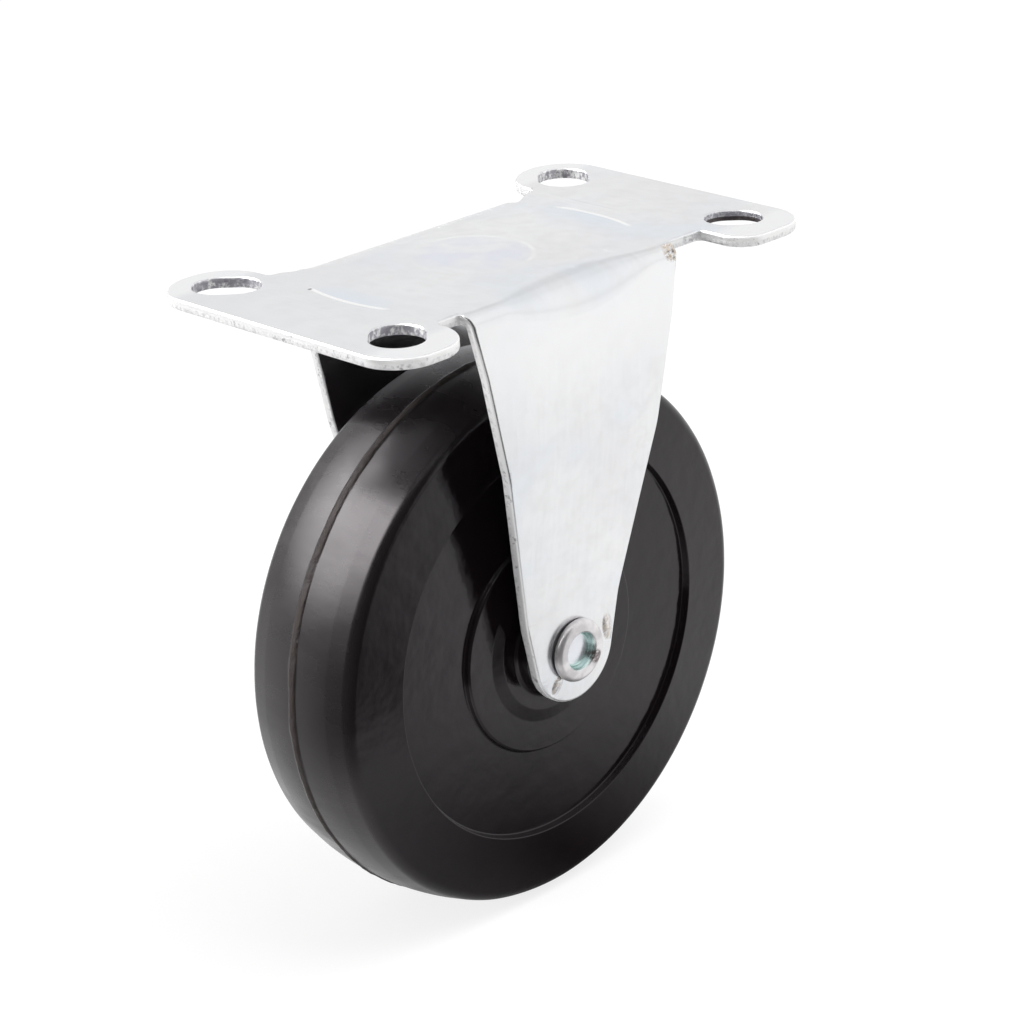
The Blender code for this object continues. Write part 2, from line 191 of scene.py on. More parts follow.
def distance(x, y):
    """How far a point is from where both of its places are 0."""
    return (x * x + y * y).root()


def feed(tree, place, value):
    """Link a node's input to a shade, or set it to a plain value."""
    if isinstance(value, Shade):
        tree.links.new(value.socket, place)
    else:
        place.default_value = value


class Shade:
    """A socket of a node tree on which sums can be done; each one adds its Math node."""

    def __init__(self, tree, socket):
        self.tree = tree
        self.socket = socket

    def math(self, operation, *others):
        node = self.tree.nodes.new("ShaderNodeMath")
        node.operation = operation
        for place, value in zip(node.inputs, (self, *others)):
            feed(self.tree, place, value)
        return Shade(self.tree, node.outputs[0])

    def __add__(self, other):
        return self.math("ADD", other)

    __radd__ = __add__

    def __mul__(self, other):
        return self.math("MULTIPLY", other)

    __rmul__ = __mul__

    def __sub__(self, other):
        return self.math("SUBTRACT", other)

    def __rsub__(self, other):
        return self * -1.0 + other

    def __truediv__(self, other):
        return self.math("DIVIDE", other)

    def __pow__(self, power):
        return self.math("POWER", power)

    def __abs__(self):
        return self.math("ABSOLUTE")

    def most(self, other):
        return self.math("MAXIMUM", other)

    def root(self):
        return self.math("SQRT")


class Nodes:
    """A node tree and one method that adds any node to it."""

    def __init__(self, tree):
        self.tree = tree

    def add(self, kind, settings=None, inputs=None, output=0):
        node = self.tree.nodes.new(kind)
        for name, value in (settings or {}).items():
            setattr(node, name, value)
        for name, value in (inputs or {}).items():
            feed(self.tree, node.inputs[name], value)
        return Shade(self.tree, node.outputs[output])

    def noise(self, vector, scale, detail=2.0, roughness=0.5, distortion=0.0):
        return self.add("ShaderNodeTexNoise", None, {"Vector": vector, "Scale": scale, "Detail": detail,
                                                     "Roughness": roughness, "Distortion": distortion})

    def step(self, value, low, high):
        """0 below low, 1 above high and a smooth slope between."""
        settings = {"interpolation_type": "SMOOTHSTEP"}
        return self.add("ShaderNodeMapRange", settings, {"Value": value, "From Min": low, "From Max": high})

    def fade(self, value, low, high):
        """1 below low, 0 above high and a smooth slope between."""
        return 1.0 - self.step(value, low, high)

    def blend(self, factor, *pair):
        """A colour between two colours."""
        first, second = [shade if isinstance(shade, Shade) else (*shade, 1.0) for shade in pair]
        return self.add("ShaderNodeMix", {"data_type": "RGBA"}, {0: factor, 6: first, 7: second}, 2)

    def mapped(self, vector, move=(0, 0, 0), scale=(1, 1, 1)):
        return self.add("ShaderNodeMapping", None, {"Vector": vector, "Location": move, "Scale": scale})

    def xyz(self, vector):
        outputs = self.add("ShaderNodeSeparateXYZ", None, {0: vector}).socket.node.outputs
        return [Shade(self.tree, outputs[index]) for index in range(3)]

    def rays(self):
        """1 for what the camera sees by itself, and 1 for what gloss mirrors."""
        outputs = self.add("ShaderNodeLightPath").socket.node.outputs
        return Shade(self.tree, outputs["Is Camera Ray"]), Shade(self.tree, outputs["Is Glossy Ray"])


class Finish(Nodes):
    """A procedural material: one Principled shader and the nodes that feed it."""

    def __init__(self, name, base=None):
        self.base = base
        self.material = bpy.data.materials.new(name)
        self.material.use_nodes = True
        super().__init__(self.material.node_tree)
        self.shader = self.tree.nodes["Principled BSDF"]

    def set(self, name, value):
        if isinstance(value, tuple):
            value = (*value, 1.0)
        feed(self.tree, self.shader.inputs[name], value)

    def object_place(self):
        return self.add("ShaderNodeTexCoord", None, None, 3)

    def attribute(self, name):
        return self.add("ShaderNodeAttribute", {"attribute_name": name}, None, 1)

    def coat(self, mask, shade):
        """Lay a colour over the base colour where a mask is 1."""
        self.base = self.blend(mask, self.base, shade)

    def bump(self, height, reach):
        return self.add("ShaderNodeBump", None, {"Height": height, "Distance": reach, "Strength": 1.0})


def wave(x, y, pitch, layer):
    """Smooth noise over a surface; each layer is another pattern."""
    return noise.noise(Vector((x * pitch, y * pitch, layer)))


def smooth(value, low, high):
    """0 below low, 1 above high and a smooth slope between."""
    part = min(max((value - low) / (high - low), 0.0), 1.0)
    return part * part * (3 - 2 * part)


def arc(centre, radius, start, end, steps):
    """Points of an arc from one angle to another, in degrees, ends included."""
    points = []
    for step in range(steps + 1):
        turn = math.radians(start + (end - start) * step / steps)
        points.append(Vector((centre[0] + radius * math.cos(turn), centre[1] + radius * math.sin(turn))))
    return points


def linked(name, data):
    """A new object in the scene."""
    thing = bpy.data.objects.new(name, data)
    bpy.context.scene.collection.objects.link(thing)
    return thing


def mesh_of(name, bm):
    """The finished mesh of a bmesh."""
    mesh = bpy.data.meshes.new(name)
    bm.to_mesh(mesh)
    bm.free()
    return mesh


def mirrored(points, across_x, across_y):
    """An outline in another quadrant, in the order that keeps a loop running one way."""
    turned = [Vector((-p.x if across_x else p.x, -p.y if across_y else p.y)) for p in points]
    return turned[::-1] if across_x != across_y else turned


# Outer and inner corner radius of each ear, for they aren't quite alike, by its side along X and Y
EAR_ROUNDS = {
    (1, 1): (8.5 * MM, 9.6 * MM),
    (-1, 1): (8.7 * MM, 8.4 * MM),
    (-1, -1): (7.6 * MM, 8.1 * MM),
    (1, -1): (7.6 * MM, 5.2 * MM),
}
# The front right slot came out smaller than the others
TIGHT_SLOT = (1, -1)
TIGHT_SLOT_LENGTH = 0.87
TIGHT_SLOT_WIDTH = 0.92

# The far fold's swell at mid-span as a share of the near one's, and the length over which it would fade
FAR_SWELL = 0.9
FAR_FADE = 250 * MM
# How sharply the near fold tightens toward the rear and toward the front
REAR_POWER = 1.0
FRONT_POWER = 1.6

# Fine facets of the bracket
EAR_STEPS = 28
CORNER_STEPS = 10
SLOT_STEPS = 32
LEG_END_STEPS = 40
HOLE_STEPS = 72
BEND_ROWS = 16
SET_ROWS = 8
GRID = 3.0 * MM
BEND_COLUMN = 1.2 * MM
# Shares of the sheet's thickness at which its walls are cut round, so that they can be torn
WALL_CUTS = (0.35, 0.5, 0.65)


class Blank:
    """The bracket's flat blank and the way it folds, worked out from its sizes."""

    def __init__(self, sizes):
        self.s = sizes
        s = sizes
        self.axle_drop = -AXLE.z
        self.notch_base = s.plate_width / 2 - s.notch_depth
        self.ear_side = s.plate_length / 2 - s.ear_width
        self.root_rear = self.ear_side - s.notch_rear
        self.root_front = self.ear_side - s.notch_front
        self.leg_face = self.notch_base + s.bend_end
        self.flat_start = self.leg_face - s.bend_middle - s.bend_flat_margin
        self.bend_stop = self.notch_base + s.bend_end * math.pi / 2
        self.leg_start = self.bend_stop + s.bend_flat_end - s.bend_end
        depth = self.leg_face - s.leg_face_axle
        lean = s.set_angle
        self.straight = (depth - 2 * s.set_radius * (1 - math.cos(lean))) / math.sin(lean)
        self.set_arc = s.set_radius * lean
        self.set_drop = 2 * s.set_radius * math.sin(lean) + self.straight * math.cos(lean)
        self.set_length = 2 * self.set_arc + self.straight
        self.set_start = self.leg_start + self.axle_drop - s.axle_seat - self.set_drop - s.bend_flat_end
        self.axle_on_blank = self.set_start + self.set_length + s.axle_seat
        self.leg_end = self.axle_on_blank + s.leg_end_radius
        self.fold_limit = self.ear_side - s.notch_radius

    def ear(self, outer_radius, inner_radius):
        """One ear in the first quadrant, from the plate's end round to the floor of its notch."""
        s = self.s
        end = s.plate_length / 2
        side = s.plate_width / 2
        outer = (end - outer_radius, side - outer_radius)
        inner = (self.ear_side + inner_radius, side - inner_radius)
        hook = (self.fold_limit, self.notch_base + s.notch_radius)
        return (arc(outer, outer_radius, 0, 90, EAR_STEPS)
                + arc(inner, inner_radius, 90, 180, EAR_STEPS)
                + arc(hook, s.notch_radius, 0, -90, CORNER_STEPS))

    def leg_side(self, root, taper):
        """One side of a leg in the first quadrant, from its notch down to its round end."""
        s = self.s
        fillet_centre = (root + s.notch_radius, self.notch_base + s.notch_radius)
        flare = Vector((root - taper, self.leg_start + s.flare_depth - s.bend_flat_end))
        centre = Vector((0.0, self.axle_on_blank))
        tangent = (math.degrees(math.atan2(flare.y - centre.y, flare.x - centre.x))
                   + math.degrees(math.acos(s.leg_end_radius / (flare - centre).length)))
        return (arc(fillet_centre, s.notch_radius, 270, 190, CORNER_STEPS) + [flare]
                + arc(centre, s.leg_end_radius, tangent, 90, LEG_END_STEPS))

    def outline(self):
        loop = []
        for (sign_x, sign_y), rounds in EAR_ROUNDS.items():
            if sign_x > 0:
                side = self.leg_side(self.root_front, self.s.flare_front)
            else:
                side = self.leg_side(self.root_rear, self.s.flare_rear)
            loop += mirrored(self.ear(*rounds) + side, sign_x < 0, sign_y < 0)
        kept = [loop[0]]
        for point in loop[1:]:
            if (point - kept[-1]).length > self.s.rim_round / 10:
                kept.append(point)
        return kept

    def slot_centre(self, sign_x, sign_y):
        s = self.s
        return Vector((sign_x * (s.plate_length / 2 - s.slot_to_end) + s.rack_length,
                       sign_y * (s.plate_width / 2 - s.slot_to_side) + s.rack_width))

    def slot(self, sign_x, sign_y):
        s = self.s
        centre = self.slot_centre(sign_x, sign_y)
        along = Vector((sign_x * math.cos(s.slot_angle), sign_y * math.sin(s.slot_angle)))
        tight = (sign_x, sign_y) == TIGHT_SLOT
        radius = s.slot_width / 2 * (TIGHT_SLOT_WIDTH if tight else 1)
        reach = along * (s.slot_length / 2 * (TIGHT_SLOT_LENGTH if tight else 1) - radius)
        heading = math.degrees(math.atan2(along.y, along.x))
        return (arc(centre + reach, radius, heading - 90, heading + 90, SLOT_STEPS)
                + arc(centre - reach, radius, heading + 90, heading + 270, SLOT_STEPS))

    def rivet_hole(self, sign_y):
        centre = (0.0, sign_y * self.axle_on_blank)
        return arc(centre, self.s.rivet_hole, 0, 360 - 360 / HOLE_STEPS, HOLE_STEPS - 1)

    def bend_radius(self, x, side):
        """Outer radius of a fold: the one on the +Y side is even, the other bows out at mid-span."""
        s = self.s
        if side > 0:
            swell = (1 - smooth(abs(x), self.root_front, self.fold_limit)) * (FAR_SWELL - x / FAR_FADE)
        else:
            away = x - s.bow_middle
            reach, power = (s.bow_rear, REAR_POWER) if away < 0 else (s.bow_front, FRONT_POWER)
            swell = max(0.0, 1 - (away / reach) ** 2) ** power
        return s.bend_end + (s.bend_middle - s.bend_end) * swell

    def path(self, x, run, side):
        """Place and outward angle, in Y and Z, of the outer face at a distance along the blank."""
        s = self.s
        radius = self.bend_radius(x, side)
        start = self.leg_face - radius
        if run <= self.flat_start:
            return run, 0.0, 0.0
        if run <= self.notch_base:
            part = (run - self.flat_start) / (self.notch_base - self.flat_start)
            return self.flat_start + part * (start - self.flat_start), 0.0, 0.0
        if run <= self.bend_stop:
            turn = (run - self.notch_base) / s.bend_end
            return start + radius * math.sin(turn), -radius * (1 - math.cos(turn)), turn
        if run <= self.leg_start:
            part = (run - self.bend_stop) / (self.leg_start - self.bend_stop)
            return self.leg_face, -radius - part * (s.bend_flat_end - radius), math.pi / 2
        return self.leg_path(run)

    def leg_path(self, run):
        """The leg below its fold: straight, bent in, leaning, bent back and straight again."""
        s = self.s
        top = -s.bend_flat_end - (self.set_start - self.leg_start)
        past = run - self.set_start
        if past <= 0:
            return self.leg_face, top - past, math.pi / 2
        if past <= self.set_arc:
            turn = past / s.set_radius
            inward = s.set_radius * (1 - math.cos(turn))
            return self.leg_face - inward, top - s.set_radius * math.sin(turn), math.pi / 2 + turn
        left = self.set_length - past
        bottom = top - self.set_drop
        if left <= 0:
            return s.leg_face_axle, bottom + left, math.pi / 2
        if left <= self.set_arc:
            turn = left / s.set_radius
            outward = s.set_radius * (1 - math.cos(turn))
            return s.leg_face_axle + outward, bottom + s.set_radius * math.sin(turn), math.pi / 2 + turn
        lean = s.set_angle
        run_on = past - self.set_arc
        inward = s.set_radius * (1 - math.cos(lean)) + run_on * math.sin(lean)
        drop = s.set_radius * math.sin(lean) + run_on * math.cos(lean)
        return self.leg_face - inward, top - drop, math.pi / 2 + lean

    def folded(self, place, lift):
        """Where a point of the flat blank lies on the bracket, lifted off its sheet's outer face."""
        depth = place.z + lift
        if abs(place.x) > self.fold_limit:
            return self.racked(Vector((place.x, place.y, depth)))
        side = math.copysign(1.0, place.y)
        y, z, turn = self.path(place.x, abs(place.y), side)
        return self.racked(Vector((place.x, side * (y + depth * math.sin(turn)), z + depth * math.cos(turn))))

    def racked(self, place):
        """The sheet was folded a little off the middle of its holes; it comes right toward the axle."""
        part = 1 - smooth(-place.z, self.s.bend_flat_end, self.axle_drop - self.s.axle_seat)
        return place - Vector((self.s.rack_length, self.s.rack_width, 0.0)) * part

    def rows(self):
        """Distances along the blank at which it is cut across."""
        rows = [self.flat_start, self.notch_base, self.leg_start]
        rows += [self.notch_base + (self.bend_stop - self.notch_base) * row / BEND_ROWS
                 for row in range(1, BEND_ROWS + 1)]
        for begin in (self.set_start, self.set_start + self.set_length - self.set_arc):
            rows += [begin + self.set_arc * row / SET_ROWS for row in range(SET_ROWS + 1)]
        first = int(self.flat_start / GRID)
        rows += [GRID * row for row in range(1, first)]
        steps = int((self.leg_end - self.leg_start) / GRID)
        leg = self.axle_on_blank - self.leg_start
        rows += [self.leg_start + leg * row / steps for row in range(1, steps + 4)]
        return [row for row in rows if row < self.leg_end]


class Marks:
    """Small marks that the press tools left in the sheet, in the flat blank's own places."""
    ARC_CENTRE = Vector((-3.1 * MM, 0.7 * MM))
    ARC_RADIUS = 30.7 * MM
    ARC_HEIGHT = 0.17 * MM
    ARC_WIDTH = 0.38 * MM
    RING_CENTRE = Vector((-2.6 * MM, 1.2 * MM))
    RING_RADIUS = 10.5 * MM
    DOT = Vector((-33.1 * MM, 8.5 * MM))
    ARC_SIDE = 9.8 * MM
    BURR_HEIGHT = 0.22 * MM
    CRUMPLE_HEIGHT = 0.34 * MM
    CRUMPLE_SIZE = 2.1 * MM
    UNEVEN = 0.035 * MM
    # Strip that is cut finely outside and inside an arc, the margin round a burr, and the cuts' pitches
    ARC_OUTSIDE = 0.9 * MM
    ARC_INSIDE = 2.3 * MM
    ARC_PITCHES = (0.13 * MM, 0.5 * MM)
    BURR_MARGIN = 0.7 * MM
    PITCHES = (0.2 * MM, 0.2 * MM)

    def __init__(self, blank):
        axle = blank.axle_on_blank
        self.crumple = Vector((22.4 * MM, -(blank.notch_base + 2.4 * MM)))
        # Each burr's centre, heading, half length and half width
        self.burrs = [
            (Vector((-4.8 * MM, -(axle + 5.3 * MM))), math.radians(232), 1.45 * MM, 0.75 * MM),
            (Vector((8.15 * MM, -(axle - 1.5 * MM))), math.radians(96), 2.1 * MM, 0.85 * MM),
        ]

    def arc_lift(self, x, y):
        """Two thin raised arcs that taper toward their ends."""
        away = Vector((x, y)) - self.ARC_CENTRE
        off = (away.length - self.ARC_RADIUS) / self.ARC_WIDTH
        if abs(off) > 3 or abs(y) > self.ARC_SIDE:
            return 0.0
        taper = max(0.0, 1 - (y / self.ARC_SIDE) ** 2) ** 0.5
        start = 0.55 + 0.45 * y / self.ARC_SIDE
        return self.ARC_HEIGHT * taper * start * math.exp(-off * off)

    def burr_lift(self, x, y):
        lift = 0.0
        for centre, heading, half_length, half_width in self.burrs:
            away = Vector((x, y)) - centre
            along = (away.x * math.cos(heading) + away.y * math.sin(heading)) / half_length
            across = (away.y * math.cos(heading) - away.x * math.sin(heading)) / half_width
            reach = along * along + across * across
            if reach < 1:
                lift += self.BURR_HEIGHT * (1 - reach) ** 0.6 * (1 - 0.5 * reach)
            elif reach < 2.2:
                lift -= self.BURR_HEIGHT * 0.3 * math.sin((reach - 1) / 1.2 * math.pi)
        return lift

    def crumple_lift(self, x, y):
        away = (Vector((x, y)) - self.crumple).length / self.CRUMPLE_SIZE
        if away > 1:
            return 0.0
        rough = wave(x, y, 1500, 0.0) + 0.6 * wave(x, y, 3200, 16000.0)
        return self.CRUMPLE_HEIGHT * rough * (1 - away * away)

    def lift(self, x, y, depth):
        """How far the sheet's outer face stands off its plain shape."""
        waves = self.UNEVEN * (wave(x, y, 55, 1.0) + 0.4 * wave(x, y, 160, 3.0))
        if depth > 0.5 * MM:
            return waves
        return waves + self.arc_lift(x, y) + self.burr_lift(x, y) + self.crumple_lift(x, y)


def blank_mesh(blank):
    """The flat blank with rounded rims, as a mesh."""
    s = blank.s
    curve = bpy.data.curves.new("blank", "CURVE")
    curve.dimensions = "2D"
    curve.fill_mode = "BOTH"
    curve.extrude = s.sheet / 2 - s.rim_round
    curve.bevel_depth = s.rim_round
    curve.bevel_resolution = 3
    curve.offset = -s.rim_round
    loops = [blank.outline(), blank.rivet_hole(1), blank.rivet_hole(-1)]
    loops += [blank.slot(sign_x, sign_y) for sign_x in (1, -1) for sign_y in (1, -1)]
    for loop in loops:
        spline = curve.splines.new("POLY")
        spline.points.add(len(loop) - 1)
        for point, place in zip(spline.points, loop):
            point.co = (place.x, place.y, 0.0, 1.0)
        spline.use_cyclic_u = True
    source = linked("blank", curve)
    graph = bpy.context.evaluated_depsgraph_get()
    mesh = bpy.data.meshes.new_from_object(source.evaluated_get(graph))
    bpy.data.objects.remove(source, do_unlink=True)
    return mesh


def cut_strip(bm, place, direction, low=(-1, -1), high=(1, 1)):
    """Cut the sheet along a plane, only in the strip of the blank between two corners."""
    bmesh.ops.bisect_plane(bm, geom=geometry_between(bm, low, high), dist=1e-7,
                           plane_co=place, plane_no=direction)


def mark_fill_edges(bm):
    """Mark the edges that only filled the flat faces, to dissolve them once the grid is cut."""
    bm.normal_update()
    for edge in bm.edges:
        edge.seam = all(abs(face.normal.z) > 0.999 for face in edge.link_faces)


def cut_grid(bm, blank):
    """Cut the blank into the rows and columns that its folds and marks need."""
    limit = blank.fold_limit
    end = blank.leg_end
    middle = ((-limit, -end), (limit, end))
    for side in (1, -1):
        cut_strip(bm, (side * limit, 0, 0), (1, 0, 0))
        cut_strip(bm, (blank.slot_centre(side, 1).x, 0, 0), (1, 0, 0))
        for ear in (1, -1):
            low = (limit, -end) if ear > 0 else (-1, -end)
            high = (1, end) if ear > 0 else (-limit, end)
            cut_strip(bm, (0, blank.slot_centre(1, side).y, 0), (0, 1, 0), low, high)
    for row in blank.rows():
        for side in (1, -1):
            cut_strip(bm, (0, side * row, 0), (0, 1, 0), *middle)
    cut_strip(bm, (0, 0, 0), (0, 1, 0), *middle)
    columns = int(limit / GRID)
    for column in range(-columns, columns + 1):
        cut_strip(bm, (column * GRID, 0, 0), (1, 0, 0), *middle)
    columns = int(blank.root_rear / BEND_COLUMN)
    for column in range(-columns, columns + 1):
        place = (column * BEND_COLUMN, 0, 0)
        cut_strip(bm, place, (1, 0, 0), (-limit, blank.flat_start), (limit, blank.leg_start))
        cut_strip(bm, place, (1, 0, 0), (-limit, -blank.leg_start), (limit, -blank.flat_start))
    for height in WALL_CUTS:
        cut_strip(bm, (0, 0, blank.s.sheet * (height - 0.5)), (0, 0, 1))


def geometry_between(bm, low, high):
    """The faces whose middles lie between two corners of the blank, with their edges and corners."""
    faces = []
    for face in bm.faces:
        middle = face.calc_center_median()
        if low[0] < middle.x < high[0] and low[1] < middle.y < high[1]:
            faces.append(face)
    edges = {edge for face in faces for edge in face.edges}
    verts = {vert for face in faces for vert in face.verts}
    return list(verts) + list(edges) + faces


def cut_patch(bm, low, high, pitches):
    """Cut a small patch of the blank finely, for a mark."""
    for axis, pitch in enumerate(pitches):
        geometry = geometry_between(bm, low, high)
        steps = int((high[axis] - low[axis]) / pitch)
        direction = (1 - axis, axis, 0)
        for step in range(steps + 1):
            place = Vector(direction) * (low[axis] + step * pitch)
            cut = bmesh.ops.bisect_plane(bm, geom=geometry, dist=1e-7, plane_co=place, plane_no=direction)
            geometry = cut["geom"]


def cut_marks(bm, marks):
    side = marks.ARC_SIDE
    for sign in (1, -1):
        middle = marks.ARC_CENTRE.x + sign * marks.ARC_RADIUS
        low, high = sorted((middle + sign * marks.ARC_OUTSIDE, middle - sign * marks.ARC_INSIDE))
        cut_patch(bm, (low, -side), (high, side), marks.ARC_PITCHES)
    patches = [(centre, half_length + marks.BURR_MARGIN) for centre, _, half_length, _ in marks.burrs]
    for centre, reach in patches + [(marks.crumple, marks.CRUMPLE_SIZE)]:
        low = (centre.x - reach, centre.y - reach)
        high = (centre.x + reach, centre.y + reach)
        cut_patch(bm, low, high, marks.PITCHES)


# Shares of the sheet's thickness between which its walls are torn, and how deep the tears are
TORN_FROM = 0.4
TORN_TO = 0.95
TEAR_DEPTH = 0.07 * MM


def roughen_walls(bm, blank):
    """Tear the lower part of the sheared walls, as a punch leaves them."""
    bm.normal_update()
    sheet = blank.s.sheet
    for vert in bm.verts:
        down = 0.5 - vert.co.z / sheet
        if TORN_FROM < down < TORN_TO and abs(vert.normal.z) < 0.9:
            rough = noise.noise(vert.co * 2600) + 0.5 * noise.noise(vert.co * 700)
            vert.co += Vector((vert.normal.x, vert.normal.y, 0.0)) * rough * TEAR_DEPTH


def new_piece(name, mesh, material, body, node):
    piece = linked(name, mesh)
    mesh.materials.clear()
    mesh.materials.append(material)
    mesh.shade_smooth()
    even = piece.modifiers.new("even_normals", "WEIGHTED_NORMAL")
    even.weight = 60
    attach(piece, body)
    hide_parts(node)
    return piece


# Colours in the zinc plate, besides those among the settings
CLOUDED = (0.82, 0.82, 0.835)
MOTTLED = (0.74, 0.735, 0.74)
REAR_TONE = (0.79, 0.805, 0.82)
BRUSHED = (0.66, 0.66, 0.67)
# Painted highlight on the top of the legs
PAINTED_LEG_HIGHLIGHT = (0.955, 0.958, 0.965)
BARE_RIM = (0.91, 0.90, 0.89)
TORN_STEEL = (0.40, 0.395, 0.42)
DARK_SPECK = (0.17, 0.16, 0.17)
ROUGH_SLOT = (0.27, 0.26, 0.31)
SHADED_SLOT = (0.35, 0.36, 0.42)
# Painted shade deep in the tight slot
SLOT_SHADE_BAND = (0.05, 0.035, 0.035)
# Painted highlight along the press marks
PAINTED_GLINT = (1.0, 1.0, 1.0)
RING_BLUE = (0.76, 0.78, 0.90)
PUNCHED_DOT = (0.16, 0.16, 0.18)
# How far from a slot's centre the finish of its walls reaches
SLOT_REACH = 7.6 * MM


def zinc_finish(s, blank, marks):
    """Bright zinc over steel: mottled, faintly blue, torn grey on the sheared walls, stained at marks;
    painted highlights below the folds and on the press marks, painted shade in the tight slot.
    """
    finish = Finish("zinc_plate", s.zinc)
    flat = finish.attribute("flat")
    x, y, depth = finish.xyz(flat)
    clouds = finish.noise(flat, 34.0, 3.0, 0.55)
    blues = finish.noise(finish.mapped(flat, (3.1, 1.7, 0.0)), 52.0, 2.0, 0.5)
    grain = finish.noise(flat, 2300.0, 2.0, 0.6)
    brush = finish.noise(finish.mapped(flat, scale=(1.0, 0.06, 1.0)), 1500.0, 3.0, 0.6)
    finish.coat(finish.step(clouds, 0.34, 0.66) * 0.75, CLOUDED)
    finish.coat(finish.step(blues, 0.48, 0.72) * 0.4, s.zinc_blue)
    mottle = finish.step(finish.noise(flat, 250.0, 4.0, 0.65), 0.40, 0.68)
    finish.coat(mottle * 0.34, MOTTLED)
    # Darker toward the plate's rear end
    finish.coat(finish.fade(x, -50 * MM, 15 * MM) * 0.5, REAR_TONE)
    finish.coat(finish.step(brush, 0.3, 0.7) * 0.10 + grain * 0.05, BRUSHED)
    leg = finish.step(abs(y), blank.leg_start - 5 * MM, blank.leg_start - 1 * MM)
    # Painted highlight: the top of each leg, just below the fold, is made lighter where it catches the light
    upper_leg_highlight = finish.step(abs(y), blank.leg_start - 8.0 * MM, blank.leg_start - 4.5 * MM)
    upper_leg_highlight = upper_leg_highlight * finish.fade(abs(y), blank.leg_start, blank.leg_start + 20 * MM)
    finish.coat(upper_leg_highlight * 0.75, PAINTED_LEG_HIGHLIGHT)
    press_marks(finish, s, x, y, depth, marks)
    rim = finish.step(depth + leg * 0.08 * MM, 0.08 * MM, 0.30 * MM)
    rim = rim * finish.fade(depth, 1.88 * MM, 1.97 * MM)
    torn = finish.step(depth, 0.85 * MM, 1.10 * MM) * finish.fade(depth, 1.80 * MM, 1.92 * MM)
    tear = finish.noise(finish.mapped(flat, scale=(1.0, 1.0, 0.75)), 1150.0, 4.0, 0.7)
    finish.coat(rim * 0.6, BARE_RIM)
    finish.coat(torn * finish.step(tear, 0.44, 0.66) * 0.5, TORN_STEEL)
    specks = finish.step(finish.noise(flat, 620.0, 3.0, 0.65), 0.60, 0.70) * rim
    finish.coat(specks * 0.6, DARK_SPECK)
    rough = finish.step(tear, 0.40, 0.56) * rim * 0.8
    around = {signs: stain_mask(finish, x, y, blank.slot_centre(*signs), 0.0, SLOT_REACH, SLOT_REACH)
              for signs in EAR_ROUNDS}
    for mask in around.values():
        finish.coat(mask * rough, ROUGH_SLOT)
    shaded = around[TIGHT_SLOT] * rim
    finish.coat(shaded * 0.35, SHADED_SLOT)
    # Painted dark shade on the lower part of the tight slot's wall
    finish.coat(shaded * finish.step(depth, 0.95 * MM, 1.2 * MM) * 0.92, SLOT_SHADE_BAND)
    burrs = [stain_mask(finish, x, y, centre, heading, half_length * 1.25, half_width * 1.35)
             for centre, heading, half_length, half_width in marks.burrs]
    crumple = stain_mask(finish, x, y, marks.crumple, 0.0, marks.CRUMPLE_SIZE, marks.CRUMPLE_SIZE * 0.9)
    spots = finish.noise(flat, 1500.0, 3.0, 0.7)
    stains = (burrs[0].most(burrs[1]) * 0.75).most(crumple) * finish.step(spots, 0.38, 0.58)
    finish.coat(stains * 0.75, s.stain)
    finish.set("Base Color", finish.base)
    finish.set("Metallic", 0.985 - (stains * 0.6).most(rim * (leg * 0.35 + 0.42)))
    wear = finish.noise(flat, 420.0, 4.0, 0.65)
    finish.set("Roughness", (wear - 0.5) * 0.10 + s.zinc_gloss + rim * 0.12 + torn * 0.20 + stains * 0.2)
    pits = finish.noise(flat, 900.0, 3.0, 0.6)
    height = grain * 0.25 + brush * 0.20 + wear * 0.8 + rim * pits * 9.0 + torn * tear * 9.0
    finish.set("Normal", finish.bump(height, 0.004 * MM))
    return finish.material


def press_marks(finish, s, x, y, depth, marks):
    """The raised arcs and ring of the press tools with a painted white highlight along them, their blue cast
    and one dark dot.
    """
    top = finish.fade(depth, 0.1 * MM, 0.3 * MM)
    inward = marks.ARC_RADIUS - distance(x - marks.ARC_CENTRE.x, y - marks.ARC_CENTRE.y)
    along = finish.fade(abs(y), 2.0 * MM, marks.ARC_SIDE + 1.5 * MM)
    halo = finish.step(inward, 0.1 * MM, 0.6 * MM) * finish.fade(inward, 0.8 * MM, 7.5 * MM)
    finish.coat(halo * along * top * 0.6, s.zinc_blue)
    # Painted white highlight along the top of the raised arcs
    within = finish.fade(abs(y), marks.ARC_SIDE - 2.5 * MM, marks.ARC_SIDE) * top
    finish.coat(finish.fade(abs(inward), 0.22 * MM, 0.58 * MM) * within, PAINTED_GLINT)
    away_x = x - marks.RING_CENTRE.x
    reach = distance(away_x, y - marks.RING_CENTRE.y)
    patchy = finish.step(finish.noise(finish.attribute("flat"), 130.0, 2.0, 0.5), 0.40, 0.62)
    inside = finish.fade(reach, marks.RING_RADIUS - 3.0 * MM, marks.RING_RADIUS + 0.8 * MM) * top
    finish.coat(inside * (patchy * 0.5 + 0.1), RING_BLUE)
    # Painted highlight along the ring, stronger toward its right side
    ring = finish.fade(abs(reach - marks.RING_RADIUS), 0.12 * MM, 0.60 * MM) * top
    right = finish.step(away_x, -3.0 * MM, 6.0 * MM) * 0.5 + 0.08
    finish.coat(ring * patchy * right, PAINTED_GLINT)
    dot = finish.fade(distance(x - marks.DOT.x, y - marks.DOT.y), 0.25 * MM, 0.5 * MM)
    finish.coat(dot * top * 0.7, PUNCHED_DOT)


def stain_mask(finish, x, y, centre, heading, half_length, half_width):
    """1 inside an oval on the flat blank, falling to 0 round it."""
    away_x = x - centre.x
    away_y = y - centre.y
    along = (away_x * math.cos(heading) + away_y * math.sin(heading)) / half_length
    across = (away_y * math.cos(heading) - away_x * math.sin(heading)) / half_width
    return finish.fade(along * along + across * across, 0.55, 1.15)


